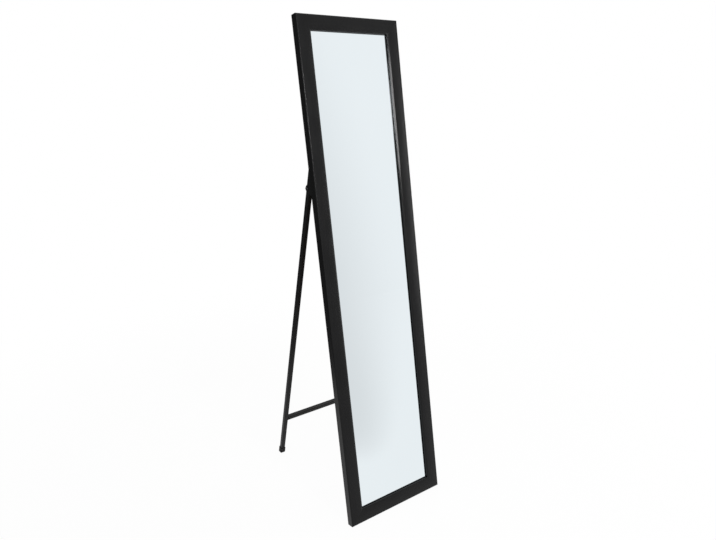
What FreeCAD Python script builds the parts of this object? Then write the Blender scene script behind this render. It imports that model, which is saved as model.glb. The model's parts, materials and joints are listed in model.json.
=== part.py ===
import FreeCAD, Part
import math
import os
import Sketcher
from FreeCAD import Placement, Rotation, Vector

# Floor mirror: a mitred frame with its glass, leaning back on a folding stand of two tube legs.
# Millimetres and degrees. The part stands on z = 0, faces -Y, and its left is -X.

driving_sizes = [
    # frame moulding, seen in section
    ("frame_height", 1570),
    ("frame_width", 370),
    ("frame_depth", 27),
    ("face_width", 45),
    ("face_crown", 1),
    ("edge_radius", 4),
    ("back_radius", 1.5),
    ("sight_bevel", 5),
    ("sight_drop", 2),
    ("lip_thickness", 7),
    ("rebate_overlap", 11),
    # glass and what holds it in the rebate
    ("glass_clearance", 1),
    ("glass_thickness", 3),
    ("board_thickness", 3),
    ("point_spacing", 250),
    ("point_width", 9),
    ("point_length", 16),
    ("point_bite", 7),
    ("point_sheet", 0.6),
    # bent nails across the mitres
    ("nail_first", 8),
    ("nail_second", 20),
    ("nail_wing", 9),
    ("nail_depth", 12),
    ("nail_sheet", 0.7),
    # how the mirror and the stand are set
    ("lean_angle", 11),
    ("leg_angle", 23.25),
    ("leg_inset", 7),
    ("pivot_height", 1077),
    ("pivot_standoff", 28),
    ("stop_gap", 0.3),
    # hinge bracket and its screws
    ("bracket_sheet", 1.5),
    ("bracket_below", 32),
    ("bracket_margin", 5),
    ("bracket_corner", 4),
    ("ear_foot", 26),
    ("ear_shoulder", 4),
    ("ear_radius", 8.5),
    ("screw_spread", 20),
    ("screw_shank", 3.5),
    ("screw_head", 7),
    ("screw_head_height", 2.4),
    ("screw_length", 16),
    ("screw_clearance", 0.05),
    # hinge bolt, nut, washers and sleeve
    ("bolt_diameter", 5),
    ("bolt_head", 10),
    ("bolt_head_height", 3.6),
    ("bolt_head_bevel", 1.8),
    ("bolt_tail", 2),
    ("bolt_socket", 3),
    ("bolt_socket_depth", 2),
    ("bolt_clearance", 0.05),
    ("nut_flats", 8),
    ("nut_hex_height", 3.8),
    ("nut_collar_height", 1.2),
    ("nut_collar_diameter", 7.2),
    ("washer_diameter", 12),
    ("washer_thickness", 1),
    ("washer_gap", 0.15),
    ("sleeve_wall", 1.4),
    ("sleeve_fit", 0.02),
    # stand
    ("tube_size", 15),
    ("tube_wall", 1.2),
    ("tube_corner", 2),
    ("crossbar_height", 167),
    ("weld_size", 3),
    ("cap_fit", 0.05),
    ("cap_wall", 1.8),
    ("cap_sole", 5),
    ("cap_height", 18),
    ("cap_corner", 2.6),
    ("cap_rim", 0.6),
    ("cap_sole_bevel", 1.2),
    ("plug_flange", 2),
    ("plug_depth", 14),
    ("plug_wall", 1.6),
    ("plug_fit", 0.1),
]

# how far a cutting outline runs past what it cuts; it shapes nothing
overcut = 2.0


class Size:
    # A number together with the formula that it comes from, so that both the first
    # outline of a sketch and the binding to the sheet are written once.
    def __init__(self, number, formula):
        self.number = number
        self.formula = formula

    def __add__(self, other):
        other = as_size(other)
        return Size(self.number + other.number, f"({self.formula} + {other.formula})")

    def __sub__(self, other):
        other = as_size(other)
        return Size(self.number - other.number, f"({self.formula} - {other.formula})")

    def __mul__(self, other):
        other = as_size(other)
        return Size(self.number * other.number, f"({self.formula} * {other.formula})")

    def __truediv__(self, other):
        other = as_size(other)
        return Size(self.number / other.number, f"({self.formula} / {other.formula})")

    def __radd__(self, other):
        return as_size(other) + self

    def __rsub__(self, other):
        return as_size(other) - self

    def __rmul__(self, other):
        return as_size(other) * self

    def __neg__(self):
        return as_size(0) - self


def as_size(value):
    if isinstance(value, Size):
        return value
    return Size(float(value), repr(float(value)))


def sine(angle):
    return Size(math.sin(math.radians(angle.number)), f"sin({angle.formula})")


def cosine(angle):
    return Size(math.cos(math.radians(angle.number)), f"cos({angle.formula})")


def tangent(angle):
    return Size(math.tan(math.radians(angle.number)), f"tan({angle.formula})")


doc = FreeCAD.newDocument("floor_mirror")
sheet = doc.addObject("Spreadsheet::Sheet", "dim")
for row, (alias, number) in enumerate(driving_sizes, start=1):
    sheet.set(f"A{row}", alias)
    sheet.set(f"B{row}", str(number))
    sheet.setAlias(f"B{row}", alias)
doc.recompute()


def size(alias):
    return Size(float(sheet.get(alias)), f"dim.{alias}")


def bind(item, path, value):
    item.setExpression(path, as_size(value).formula)


# Sketches, pads and pockets

planes = {"X": "YZ_Plane", "Y": "XZ_Plane", "Z": "XY_Plane"}
# the normal of the XZ plane points to -Y, the other two point along their axis
normal_sign = {"X": 1, "Y": -1, "Z": 1}


def new_body(label):
    return doc.addObject("PartDesign::Body", label)


def new_sketch(body, axis, name, start):
    sketch = body.newObject("Sketcher::SketchObject", name)
    plane = next(item for item in body.Origin.OriginFeatures if item.Role == planes[axis])
    sketch.AttachmentSupport = (plane, [""])
    sketch.MapMode = "FlatFace"
    bind(sketch, "AttachmentOffset.Base.z", normal_sign[axis] * as_size(start))
    return sketch


def fix_point(sketch, geometry, position, name, x, y):
    for letter, value in (("x", x), ("y", y)):
        kind = "Distance" + letter.upper()
        index = sketch.addConstraint(
            Sketcher.Constraint(kind, -1, 1, geometry, position, as_size(value).number))
        sketch.renameConstraint(index, name + letter)
        bind(sketch, f"Constraints.{name}{letter}", value)


def fix_radius(sketch, geometry, name, radius):
    index = sketch.addConstraint(Sketcher.Constraint("Radius", geometry, as_size(radius).number))
    sketch.renameConstraint(index, name)
    bind(sketch, f"Constraints.{name}", radius)


def draw_circle(sketch, name, x, y, radius):
    centre = Vector(as_size(x).number, as_size(y).number, 0)
    circle = Part.Circle(centre, Vector(0, 0, 1), as_size(radius).number)
    geometry = sketch.addGeometry(circle, False)
    fix_point(sketch, geometry, 3, name, x, y)
    fix_radius(sketch, geometry, name + "r", radius)


def heading(start, end):
    # the direction of a level or upright run, as a step of -1, 0 or 1 each way
    dx = as_size(end[0]).number - as_size(start[0]).number
    dy = as_size(end[1]).number - as_size(start[1]).number
    if abs(dx) > abs(dy):
        return (math.copysign(1, dx), 0)
    return (0, math.copysign(1, dy))


def rounded_points(corners):
    # each corner is (x, y) or (x, y, radius); a rounded corner lies between a level and an upright run
    points = []
    for index, corner in enumerate(corners):
        if len(corner) == 2:
            points.append((corner[0], corner[1], None, None))
            continue
        x, y, radius = corner
        before = heading(corners[index - 1], corner)
        after = heading(corner, corners[(index + 1) % len(corners)])
        turn = before[0] * after[1] - before[1] * after[0]
        points.append((x - before[0] * radius, y - before[1] * radius, radius, turn))
        points.append((x + after[0] * radius, y + after[1] * radius, None, None))
    return points


def crown_radius(chord, rise):
    # the radius of the flat arc that rises so far over its chord
    return (chord * chord / 4 + rise * rise) / (2 * rise)


def draw_outline(sketch, name, corners, crown=None):
    # the last run of the outline may be an arc: crown is its (chord, rise)
    points = rounded_points(corners)
    spots = [Vector(as_size(p[0]).number, as_size(p[1]).number, 0) for p in points]
    ends = []
    for index, (x, y, radius, turn) in enumerate(points):
        start, end = spots[index], spots[(index + 1) % len(points)]
        crowned = crown is not None and index == len(points) - 1
        if radius is None and not crowned:
            ends.append((sketch.addGeometry(Part.LineSegment(start, end), False), 1, 2))
            continue
        if crowned:
            radius, turn, bulge = crown_radius(*crown), 1, crown[1].number
        else:
            bulge = radius.number * (1 - math.sqrt(0.5))
        chord = end - start
        outward = Vector(chord.y, -chord.x, 0) * turn
        outward.normalize()
        middle = (start + end) * 0.5 + outward * bulge
        geometry = sketch.addGeometry(Part.Arc(start, middle, end), False)
        fix_radius(sketch, geometry, f"{name}r{index}", radius)
        ends.append((geometry, 1, 2) if turn > 0 else (geometry, 2, 1))
    for index, (geometry, first, last) in enumerate(ends):
        following = ends[(index + 1) % len(ends)]
        sketch.addConstraint(Sketcher.Constraint("Coincident", geometry, last, following[0], following[1]))
        fix_point(sketch, geometry, first, f"{name}p{index}", points[index][0], points[index][1])


def draw(sketch, shapes):
    for number, shape in enumerate(shapes):
        if shape[0] == "circle":
            draw_circle(sketch, f"c{number}", *shape[1:])
        else:
            draw_outline(sketch, f"o{number}", shape)


def rectangle(x0, x1, y0, y1):
    return [(x0, y0), (x1, y0), (x1, y1), (x0, y1)]


def rounded_square(x, y, width, radius):
    half = width / 2
    return [(x - half, y - half, radius), (x + half, y - half, radius),
            (x + half, y + half, radius), (x - half, y + half, radius)]


def clipped(x0, x1, y0, y1, clip):
    # a rectangle with its corners cut off at 45 degrees
    return [(x0 + clip, y0), (x1 - clip, y0), (x1, y0 + clip), (x1, y1 - clip),
            (x1 - clip, y1), (x0 + clip, y1), (x0, y1 - clip), (x0, y0 + clip)]


def hexagon(across_flats):
    reach = across_flats / math.sqrt(3)
    return [(reach * math.cos(math.radians(60 * k)), reach * math.sin(math.radians(60 * k)))
            for k in range(6)]


def pad(body, axis, name, shapes, start, end):
    # adds the shapes from one place to another along an axis of the body
    sketch = new_sketch(body, axis, name + "_sketch", start)
    draw(sketch, shapes)
    feature = body.newObject("PartDesign::Pad", name)
    feature.Profile = sketch
    feature.Reversed = normal_sign[axis] < 0
    bind(feature, "Length", as_size(end) - as_size(start))
    doc.recompute()
    return feature


def pocket(body, axis, name, shapes, start, end):
    # cuts the shapes away from one place to another along an axis of the body
    before = body.Shape.Volume
    sketch = new_sketch(body, axis, name + "_sketch", start)
    draw(sketch, shapes)
    feature = body.newObject("PartDesign::Pocket", name)
    feature.Profile = sketch
    feature.Reversed = normal_sign[axis] > 0
    bind(feature, "Length", as_size(end) - as_size(start))
    doc.recompute()
    if body.Shape.Volume >= before:
        raise ValueError(f"{name} cuts nothing")
    return feature


def straight_edges(shape, chosen):
    # names of the straight edges that the test chosen(middle, along) picks
    names = []
    for number, edge in enumerate(shape.Edges, start=1):
        middle = edge.valueAt((edge.FirstParameter + edge.LastParameter) / 2)
        along = edge.Vertexes[-1].Point - edge.Vertexes[0].Point
        if edge.Curve.TypeId == "Part::GeomLine" and chosen(middle, along.normalize()):
            names.append(f"Edge{number}")
    return names


def round_edges(body, name, radius, chosen):
    base = body.Tip
    feature = body.newObject("PartDesign::Fillet", name)
    feature.Base = (base, straight_edges(base.Shape, chosen))
    bind(feature, "Radius", radius)
    doc.recompute()


def bevel_edges(body, name, width, chosen):
    base = body.Tip
    feature = body.newObject("PartDesign::Chamfer", name)
    feature.Base = (base, straight_edges(base.Shape, chosen))
    bind(feature, "Size", width)
    doc.recompute()


# Sizes that follow from the driving ones

frame_height = size("frame_height")
frame_width = size("frame_width")
frame_depth = size("frame_depth")
face_width = size("face_width")
rebate_edge = face_width - size("rebate_overlap")
glass_back = size("lip_thickness") + size("glass_thickness")
board_back = glass_back + size("board_thickness")

lean = size("lean_angle")
leg_angle = size("leg_angle")
leg_tilt = leg_angle - lean
tube = size("tube_size")
pivot_height = size("pivot_height")
pivot_depth = frame_depth + size("pivot_standoff")
leg_x = frame_width / 2 - size("leg_inset") - tube / 2
bracket_inner = tube + 2 * (size("washer_thickness") + size("washer_gap"))
bracket_outer = bracket_inner + 2 * size("bracket_sheet")
bolt_hole = size("bolt_diameter") / 2 + size("bolt_clearance")
sleeve_radius = bolt_hole + size("sleeve_wall")

# the frame stands on its rounded back edge, and the legs reach down to the same floor
frame_lift = frame_depth * sine(lean) - size("back_radius") * (cosine(lean) + sine(lean) - 1)
pivot_lift = frame_lift + pivot_height * cosine(lean) - pivot_depth * sine(lean)
floor_reach = pivot_lift / cosine(leg_tilt)
# the upper end of a leg is cut along the mirror's back; its plug bears flat on the bracket and
# stops the stand from opening further
stop_room = size("pivot_standoff") - size("bracket_sheet") - size("stop_gap")
bracket_above = (stop_room * cosine(leg_angle) + tube / 2) / sine(leg_angle) + size("bracket_margin")
tube_bottom = size("cap_sole") - floor_reach
cap_half = tube / 2 + size("cap_fit") + size("cap_wall")

# the origin is on the floor, midway between the frame's front edge and the rear of the feet
front_reach = size("face_crown") * cosine(lean) + size("edge_radius") * (sine(lean) + cosine(lean) - 1)
pivot_run = pivot_height * sine(lean) + pivot_depth * cosine(lean)
rear_reach = (pivot_run + pivot_lift * tangent(leg_tilt) + cap_half / cosine(leg_tilt)
              - size("cap_sole_bevel") * sine(leg_tilt))
frame_shift = -(front_reach + rear_reach) / 2

# mirror frame: x across, y from the front face to the back, z up the leaning mirror
mirror_place = Placement(Vector(0, frame_shift.number, frame_lift.number),
                         Rotation(Vector(1, 0, 0), -lean.number))
# stand frame: on the line through both pivots, z up along the legs
stand_place = Placement(Vector(0, (frame_shift + pivot_run).number, pivot_lift.number),
                        Rotation(Vector(1, 0, 0), leg_tilt.number))
sides = {"left": -1, "right": 1}
pieces = []


def keep(item, label, place):
    item.Label = label
    item.Placement = place
    pieces.append(item)
    return item


# Fasteners in the frame, each node a group of separate solids

def corner_nails():
    # bent nails, two at each mitre, with a wing in each of the two mouldings
    body = new_body("corner_v_nails")
    wing = size("nail_wing")
    half = size("nail_sheet") / 2
    outlines = []
    for along_x in (-1, 1):
        for along_z in (-1, 1):
            for place in (size("nail_first"), size("nail_second")):
                bend_x = along_x * (frame_width / 2 - place)
                bend_z = frame_height / 2 + along_z * (frame_height / 2 - place)
                steps = [(-half, -half), (wing, -half), (wing, half),
                         (half, half), (half, wing), (-half, wing)]
                outlines.append([(bend_x - along_x * x, bend_z - along_z * z) for x, z in steps])
    pad(body, "Y", "nail", outlines, frame_depth - size("nail_depth"), frame_depth)
    return keep(body, "corner_v_nails", mirror_place)


def spread(length):
    # places of the glazing points along one side of the rebate, from its middle
    count = max(2, round(length.number / size("point_spacing").number))
    return [length * ((k + 0.5) / count - 0.5) for k in range(count)]


def glazing_points():
    # flat points driven into the wall of the rebate, lying on the back of the board
    body = new_body("glazing_points")
    half = size("point_width") / 2
    tip = size("point_bite")
    tail = size("point_bite") - size("point_length")
    shoulder = tip - half
    wall_x = frame_width / 2 - rebate_edge
    wall_z = frame_height / 2 - rebate_edge
    middle = frame_height / 2
    outline = [(tail, -half), (shoulder, -half), (tip, as_size(0)), (shoulder, half), (tail, half)]
    outlines = []
    for side in (-1, 1):
        for place in spread(wall_z * 2):
            outlines.append([(side * (wall_x + out), middle + place + along) for out, along in outline])
        for place in spread(wall_x * 2):
            outlines.append([(place + along, middle + side * (wall_z + out)) for out, along in outline])
    pad(body, "Y", "point", outlines, board_back, board_back + size("point_sheet"))
    return keep(body, "glazing_points", mirror_place)


def screw_spots():
    return [(sides[side] * leg_x, pivot_height + step * size("screw_spread"))
            for side in sides for step in (-1, 1)]


def screw_outlines(radius):
    return [("circle", x, z, radius) for x, z in screw_spots()]


def bracket_screws():
    body = new_body("bracket_screws")
    seat = frame_depth + size("bracket_sheet")
    pad(body, "Y", "shank", screw_outlines(size("screw_shank") / 2), seat - size("screw_length"), seat)
    pad(body, "Y", "head", screw_outlines(size("screw_head") / 2), seat, seat + size("screw_head_height"))
    return keep(body, "bracket_screws", mirror_place)


def screw_pilots():
    # the holes that the screws take in the stiles
    body = new_body("screw_pilots")
    radius = size("screw_shank") / 2 + size("screw_clearance")
    depth = size("screw_length") - size("bracket_sheet") + size("screw_clearance")
    pad(body, "Y", "pilot", screw_outlines(radius), frame_depth - depth, frame_depth + overcut)
    body.Placement = mirror_place
    return body


# Frame

def moulding(label, length, turn, x, z):
    # one length of moulding, mitred at both ends; its own z runs from the outer edge inwards
    body = new_body(label + "_moulding")
    crown = size("face_crown")
    lip = size("lip_thickness")
    face_end = face_width - size("sight_bevel")
    section = [
        (crown, as_size(0), size("edge_radius")),
        (frame_depth, as_size(0), size("back_radius")),
        (frame_depth, rebate_edge),
        (lip, rebate_edge),
        (lip, face_width),
        (crown + size("sight_drop"), face_width),
        (crown, face_end),
    ]
    sketch = new_sketch(body, "X", label + "_section_sketch", -length / 2)
    draw_outline(sketch, "section", section, (face_end - size("edge_radius"), crown))
    run = body.newObject("PartDesign::Pad", label + "_section")
    run.Profile = sketch
    bind(run, "Length", length)
    doc.recompute()
    far = face_width + overcut
    mitres = [[(side * (length / 2 + overcut), -overcut), (side * (length / 2 + overcut), far),
               (side * (length / 2 - far), far)] for side in (-1, 1)]
    pocket(body, "Y", label + "_mitres", mitres, -overcut, frame_depth + overcut)
    body.Placement = mirror_place.multiply(
        Placement(Vector(as_size(x).number, 0, as_size(z).number), Rotation(Vector(0, 1, 0), turn)))
    return body


def frame_member(label, length, turn, x, z, cutters):
    cut = doc.addObject("Part::Cut", label)
    cut.Base = moulding(label, length, turn, x, z)
    cut.Tool = cutters
    return keep(cut, label, Placement())


def frame():
    cutters = doc.addObject("Part::Compound", "frame_cutters")
    cutters.Links = [corner_nails(), glazing_points(), screw_pilots()]
    frame_member("frame_bottom_rail", frame_width, 0, 0, 0, cutters)
    frame_member("frame_top_rail", frame_width, 180, 0, frame_height, cutters)
    frame_member("frame_left_stile", frame_height, 90, -frame_width / 2, frame_height / 2, cutters)
    frame_member("frame_right_stile", frame_height, -90, frame_width / 2, frame_height / 2, cutters)


def rebate_sheet(label, front, back):
    # a sheet that fills the rebate, with a little room around its edge
    body = new_body(label)
    edge = rebate_edge + size("glass_clearance")
    reach = frame_width / 2 - edge
    pad(body, "Y", label + "_sheet", [rectangle(-reach, reach, edge, frame_height - edge)], front, back)
    return keep(body, label, mirror_place)


# Hinges

def draw_ear(sketch):
    # an ear: upright shoulders at the foot, then straight flanks that run into the round end
    back, foot = frame_depth, size("ear_foot")
    rise, radius = size("ear_shoulder"), size("ear_radius")
    low, high = pivot_height - foot, pivot_height + foot
    corners = [(back + rise, low), (back, low), (back, high), (back + rise, high)]
    spots = [Vector(y.number, z.number, 0) for y, z in corners]
    centre = Vector(pivot_depth.number, pivot_height.number, 0)
    flank_top = centre + Vector(0, radius.number, 0)
    flank_bottom = centre - Vector(0, radius.number, 0)
    runs = [(spots[0], spots[1]), (spots[1], spots[2]), (spots[2], spots[3]),
            (spots[3], flank_top), (flank_bottom, spots[0])]
    lines = [sketch.addGeometry(Part.LineSegment(*run), False) for run in runs]
    round_end = Part.Arc(flank_bottom, centre + Vector(radius.number, 0, 0), flank_top)
    arc = sketch.addGeometry(round_end, False)
    joined = [(0, 1), (1, 2), (2, 3), (4, 0)]
    for first, second in joined:
        sketch.addConstraint(Sketcher.Constraint("Coincident", lines[first], 2, lines[second], 1))
    for index, (y, z) in enumerate(corners[:3]):
        fix_point(sketch, lines[index], 1, f"p{index}", y, z)
    fix_point(sketch, lines[3], 1, "p3", *corners[3])
    fix_point(sketch, arc, 3, "tip", pivot_depth, pivot_height)
    fix_radius(sketch, arc, "tipr", radius)
    sketch.addConstraint(Sketcher.Constraint("Tangent", lines[3], 2, arc, 2))
    sketch.addConstraint(Sketcher.Constraint("Tangent", lines[4], 1, arc, 1))


def hinge_bracket(side):
    # a bent channel: a web on the stile's back, and two ears that carry the bolt
    label = "hinge_bracket_" + side
    body = new_body(label)
    middle = sides[side] * leg_x
    outer, inner = bracket_outer / 2, bracket_inner / 2
    web_back = frame_depth + size("bracket_sheet")
    low, high = pivot_height - size("bracket_below"), pivot_height + bracket_above
    web = clipped(middle - outer, middle + outer, low, high, size("bracket_corner"))
    pad(body, "Y", label + "_web", [web], frame_depth, web_back)
    sketch = new_sketch(body, "X", label + "_ear_sketch", middle - outer)
    draw_ear(sketch)
    ears = body.newObject("PartDesign::Pad", label + "_ears")
    ears.Profile = sketch
    bind(ears, "Length", bracket_outer)
    doc.recompute()
    room = [rectangle(web_back, pivot_depth + size("ear_radius") + overcut, low - overcut, high + overcut)]
    pocket(body, "X", label + "_channel", room, middle - inner, middle + inner)
    hole = [("circle", pivot_depth, pivot_height, bolt_hole)]
    pocket(body, "X", label + "_bolt_holes", hole, middle - outer - overcut, middle + outer + overcut)
    radius = size("screw_shank") / 2 + size("screw_clearance")
    holes = [("circle", middle, pivot_height + step * size("screw_spread"), radius) for step in (-1, 1)]
    pocket(body, "Y", label + "_screw_holes", holes, frame_depth - overcut, web_back + overcut)

    def at_bend(spot, along):
        on_side = abs(abs(spot.x - middle.number) - outer.number) < 0.01
        return abs(along.z) > 0.9 and on_side and abs(spot.y - frame_depth.number) < 0.01

    round_edges(body, label + "_bends", size("bracket_sheet") / 2, at_bend)
    return keep(body, label, mirror_place)


def hinge_place(side):
    # on the bolt's line at one hinge, with x pointing out of the mirror's side
    spot = Vector(sides[side] * leg_x.number, pivot_depth.number, pivot_height.number)
    turn = 0 if sides[side] > 0 else 180
    return mirror_place.multiply(Placement(spot, Rotation(Vector(0, 0, 1), turn)))


def hinge_bolt(side):
    # bolt with a bevelled head, head outwards, and a hexagon socket
    label = "hinge_bolt_" + side
    body = new_body(label)
    seat = bracket_outer / 2
    top = seat + size("bolt_head_height")
    tail = -(seat + size("nut_hex_height") + size("nut_collar_height") + size("bolt_tail"))
    pad(body, "X", label + "_shank", [("circle", 0, 0, size("bolt_diameter") / 2)], tail, seat)
    sketch = new_sketch(body, "Z", label + "_head_sketch", 0)
    reach = size("bolt_head") / 2
    bevel = size("bolt_head_bevel")
    draw_outline(sketch, "head", [(seat, as_size(0)), (top, as_size(0)), (top, reach - bevel),
                                  (top - bevel, reach), (seat, reach)])
    head = body.newObject("PartDesign::Revolution", label + "_head")
    head.Profile = sketch
    head.ReferenceAxis = (sketch, ["H_Axis"])
    head.Angle = 360
    doc.recompute()
    pocket(body, "X", label + "_socket", [hexagon(size("bolt_socket"))],
           top - size("bolt_socket_depth"), top + overcut)
    return keep(body, label, hinge_place(side))


def hinge_nut(side):
    # hexagon nut with a locking collar, on the inner ear
    label = "hinge_nut_" + side
    body = new_body(label)
    seat = -bracket_outer / 2
    hex_end = seat - size("nut_hex_height")
    end = hex_end - size("nut_collar_height")
    pad(body, "X", label + "_hex", [hexagon(size("nut_flats"))], hex_end, seat)
    pad(body, "X", label + "_collar", [("circle", 0, 0, size("nut_collar_diameter") / 2)], end, hex_end)
    pocket(body, "X", label + "_bore", [("circle", 0, 0, bolt_hole)], end - overcut, seat + overcut)
    return keep(body, label, hinge_place(side))


def hinge_washers():
    # a slip washer on the inside of each ear
    body = new_body("hinge_washers")
    ring = [("circle", pivot_depth, pivot_height, size("washer_diameter") / 2),
            ("circle", pivot_depth, pivot_height, bolt_hole)]
    inset = bracket_inner / 2 - size("washer_thickness")
    for side in sides:
        middle = sides[side] * leg_x
        pad(body, "X", f"washer_{side}_low", ring, middle - bracket_inner / 2, middle - inset)
        pad(body, "X", f"washer_{side}_high", ring, middle + inset, middle + bracket_inner / 2)
    return keep(body, "hinge_washers", mirror_place)


# Stand

def slope_at(depth, y):
    # height on a plane along the mirror's back, so deep under the face that bears on the bracket
    return (stop_room - depth + y * cosine(leg_angle)) / sine(leg_angle)


def above_slope(depth):
    wide = tube / 2 + overcut
    low, high = slope_at(depth, -wide), slope_at(depth, wide)
    return [(-wide, low), (wide, high), (-wide, high)]


def leg(side):
    label = "leg_" + side
    body = new_body(label)
    middle = sides[side] * leg_x
    bore = tube - 2 * size("tube_wall")
    section = [rounded_square(middle, as_size(0), tube, size("tube_corner")),
               rounded_square(middle, as_size(0), bore, size("tube_corner") - size("tube_wall"))]
    flange = size("plug_flange")
    pad(body, "Z", label + "_tube", section, tube_bottom, slope_at(flange, tube / 2))
    pocket(body, "X", label + "_top", [above_slope(flange)], middle - tube, middle + tube)
    hole = [("circle", 0, 0, sleeve_radius + size("sleeve_fit"))]
    pocket(body, "X", label + "_hole", hole, middle - tube / 2 - overcut, middle + tube / 2 + overcut)
    return keep(body, label, stand_place)


def pivot_sleeve(side):
    # a sleeve through the leg, so that the tube turns on a full-width bearing
    label = "pivot_sleeve_" + side
    body = new_body(label)
    middle = sides[side] * leg_x
    ring = [("circle", 0, 0, sleeve_radius), ("circle", 0, 0, bolt_hole)]
    pad(body, "X", label + "_ring", ring, middle - tube / 2, middle + tube / 2)
    return keep(body, label, stand_place)


def leg_top_plug(side):
    # a push-in plug whose sloping flange covers the end of the tube
    label = "leg_top_plug_" + side
    body = new_body(label)
    middle = sides[side] * leg_x
    half = tube / 2
    flange = size("plug_flange")
    outer = half - size("tube_wall") - size("plug_fit")
    inner = outer - size("plug_wall")
    clip = size("tube_corner") - size("tube_wall")
    insert = [clipped(middle - outer, middle + outer, -outer, outer, clip),
              rectangle(middle - inner, middle + inner, -inner, inner)]
    low = slope_at(flange, -half) - size("plug_depth")
    pad(body, "Z", label + "_insert", insert, low, slope_at(flange, half))
    pocket(body, "X", label + "_slope", [above_slope(flange)], middle - tube, middle + tube)
    face = [[(-half, slope_at(flange, -half)), (half, slope_at(flange, half)),
             (half, slope_at(as_size(0), half)), (-half, slope_at(as_size(0), -half))]]
    pad(body, "X", label + "_flange", face, middle - half, middle + half)

    def at_corner(spot, along):
        on_corner = min(abs(spot.x - middle.number), abs(spot.y)) > half.number - 0.01
        return abs(along.z) > 0.9 and on_corner

    round_edges(body, label + "_corners", size("tube_corner"), at_corner)
    return keep(body, label, stand_place)


def foot_cap(side):
    # a push-on cap whose sole lies flat on the floor
    label = "foot_cap_" + side
    body = new_body(label)
    middle = sides[side] * leg_x
    rim = tube_bottom + size("cap_height")
    slope = tangent(leg_tilt)
    wide = cap_half + overcut
    deep = -floor_reach - wide * slope - overcut
    outside = [rounded_square(middle, as_size(0), cap_half * 2, size("cap_corner"))]
    pad(body, "Z", label + "_block", outside, -floor_reach - cap_half * slope, rim)
    room = tube / 2 + size("cap_fit")
    seat = [clipped(middle - room, middle + room, -room, room, size("tube_corner") / 2)]
    pocket(body, "Z", label + "_seat", seat, tube_bottom, rim + overcut)
    floor = [[(-wide, -floor_reach + wide * slope), (-wide, deep), (wide, deep),
              (wide, -floor_reach - wide * slope)]]
    pocket(body, "X", label + "_sole", floor, middle - cap_half - overcut, middle + cap_half + overcut)
    outermost = cap_half.number - 0.01

    def at_rim(spot, along):
        outside_edge = max(abs(spot.x - middle.number), abs(spot.y)) > outermost
        return outside_edge and abs(spot.z - rim.number) < 0.01

    def at_sole(spot, along):
        return abs(spot.z + floor_reach.number + spot.y * slope.number) < 0.01

    bevel_edges(body, label + "_rim", size("cap_rim"), at_rim)
    bevel_edges(body, label + "_sole_edge", size("cap_sole_bevel"), at_sole)
    return keep(body, label, stand_place)


bar_rise = size("crossbar_height") - floor_reach
bar_end = leg_x - tube / 2


def crossbar():
    body = new_body("crossbar")
    bore = tube - 2 * size("tube_wall")
    section = [rounded_square(as_size(0), bar_rise, tube, size("tube_corner")),
               rounded_square(as_size(0), bar_rise, bore, size("tube_corner") - size("tube_wall"))]
    pad(body, "X", "crossbar_tube", section, -bar_end, bar_end)
    return keep(body, "crossbar", stand_place)


def crossbar_welds():
    # a bead above and below the bar at each leg
    body = new_body("crossbar_welds")
    bead = size("weld_size")
    half = tube / 2 - size("tube_corner")
    beads = []
    for side in sides.values():
        for up in (-1, 1):
            root = bar_rise + up * tube / 2
            beads.append([(side * bar_end, root), (side * (bar_end - bead), root),
                          (side * bar_end, root + up * bead)])
    pad(body, "Y", "bead", beads, -half, half)
    return keep(body, "crossbar_welds", stand_place)


def build():
    frame()
    rebate_sheet("mirror_glass", size("lip_thickness"), glass_back)
    rebate_sheet("backing_board", glass_back, board_back)
    bracket_screws()
    hinge_washers()
    crossbar()
    crossbar_welds()
    for side in sides:
        hinge_bracket(side)
        hinge_bolt(side)
        hinge_nut(side)
        leg(side)
        pivot_sleeve(side)
        leg_top_plug(side)
        foot_cap(side)
    doc.recompute()


def check():
    for item in doc.Objects:
        if "Invalid" in item.State or "Error" in item.State:
            raise RuntimeError(f"{item.Label} failed: {item.State}")
    for piece in pieces:
        if piece.Shape.isNull() or not piece.Shape.isValid():
            raise RuntimeError(f"{piece.Label} has no valid shape")


def export():
    os.makedirs("parts", exist_ok=True)
    for piece in pieces:
        piece.Shape.exportStep(os.path.join("parts", piece.Label + ".step"))
        print(f"{piece.Label}: {len(piece.Shape.Solids)} solid(s), {piece.Shape.Volume / 1000:.2f} cm3")


build()
check()
export()
pivot = stand_place.Base
print(f"pivot line at y {pivot.y:.3f}, z {pivot.z:.3f}; leg from pivot to floor {floor_reach.number:.3f}")
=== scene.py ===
import bmesh
import bpy
import json
import math
from mathutils import Matrix, Vector


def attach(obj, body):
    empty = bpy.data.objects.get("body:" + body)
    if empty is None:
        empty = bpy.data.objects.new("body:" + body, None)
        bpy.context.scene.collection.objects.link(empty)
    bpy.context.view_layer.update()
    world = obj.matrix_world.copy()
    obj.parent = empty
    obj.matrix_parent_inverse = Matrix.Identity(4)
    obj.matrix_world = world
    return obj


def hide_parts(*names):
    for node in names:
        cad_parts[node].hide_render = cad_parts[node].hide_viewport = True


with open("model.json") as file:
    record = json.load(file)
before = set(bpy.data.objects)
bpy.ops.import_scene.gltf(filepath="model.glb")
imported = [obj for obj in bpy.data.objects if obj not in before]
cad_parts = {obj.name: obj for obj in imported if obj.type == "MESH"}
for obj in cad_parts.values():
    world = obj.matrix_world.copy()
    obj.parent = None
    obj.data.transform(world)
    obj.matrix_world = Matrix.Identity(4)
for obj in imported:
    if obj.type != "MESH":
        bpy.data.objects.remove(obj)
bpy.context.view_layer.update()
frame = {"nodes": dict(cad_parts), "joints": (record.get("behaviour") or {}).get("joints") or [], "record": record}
nodes = frame["nodes"]
scene = bpy.context.scene
scene.view_settings.view_transform = "Standard"
print("frame loaded:", len(nodes), "nodes")

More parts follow.
